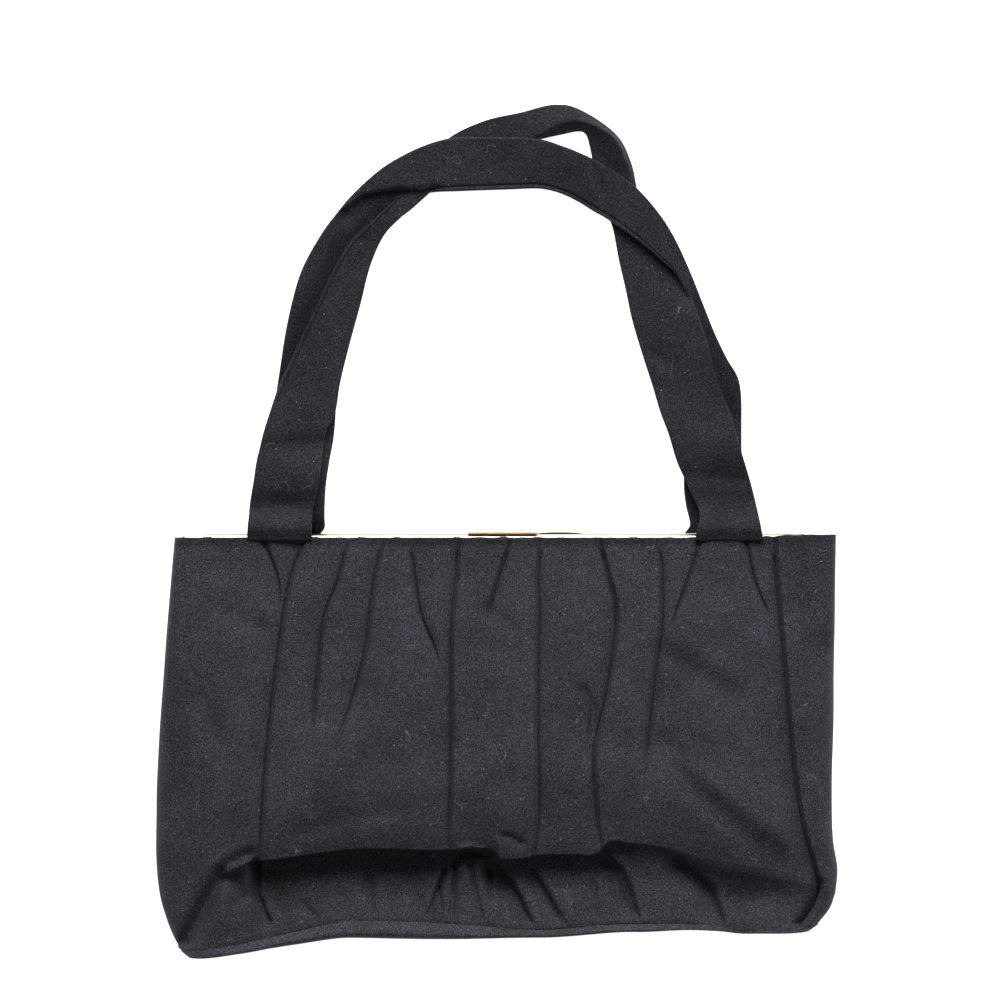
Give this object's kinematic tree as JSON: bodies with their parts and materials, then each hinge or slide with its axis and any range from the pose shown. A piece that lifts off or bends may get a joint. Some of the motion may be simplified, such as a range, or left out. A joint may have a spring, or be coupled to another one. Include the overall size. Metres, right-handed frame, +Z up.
{
  "type": "cocktail handbag",
  "caption": "Black cloth evening bag with a gathered front, metal frame with a gilt clasp and a pair of flat cloth handles, lying on its back.",
  "frame": {"origin": "on the surface the bag lies on, under the middle of its box", "axes": "+Z up, out of the bag's front; +Y from the base towards the handles; X across the bag"},
  "size_m": [0.2882, 0.3623, 0.0366],
  "materials": {
    "cloth": "matt woven wool crepe",
    "gilt": "worn gilt"
  },
  "bodies": {
    "root": {"front_panel": "cloth", "back_panel": "cloth", "base_panel": "cloth", "left_gusset": "cloth", "right_gusset": "cloth", "frame_front": "gilt", "frame_back": "gilt", "left_hinge": "gilt", "right_hinge": "gilt", "clasp": "gilt", "front_handle": "cloth", "back_handle": "cloth"}
  },
  "joints": []
}
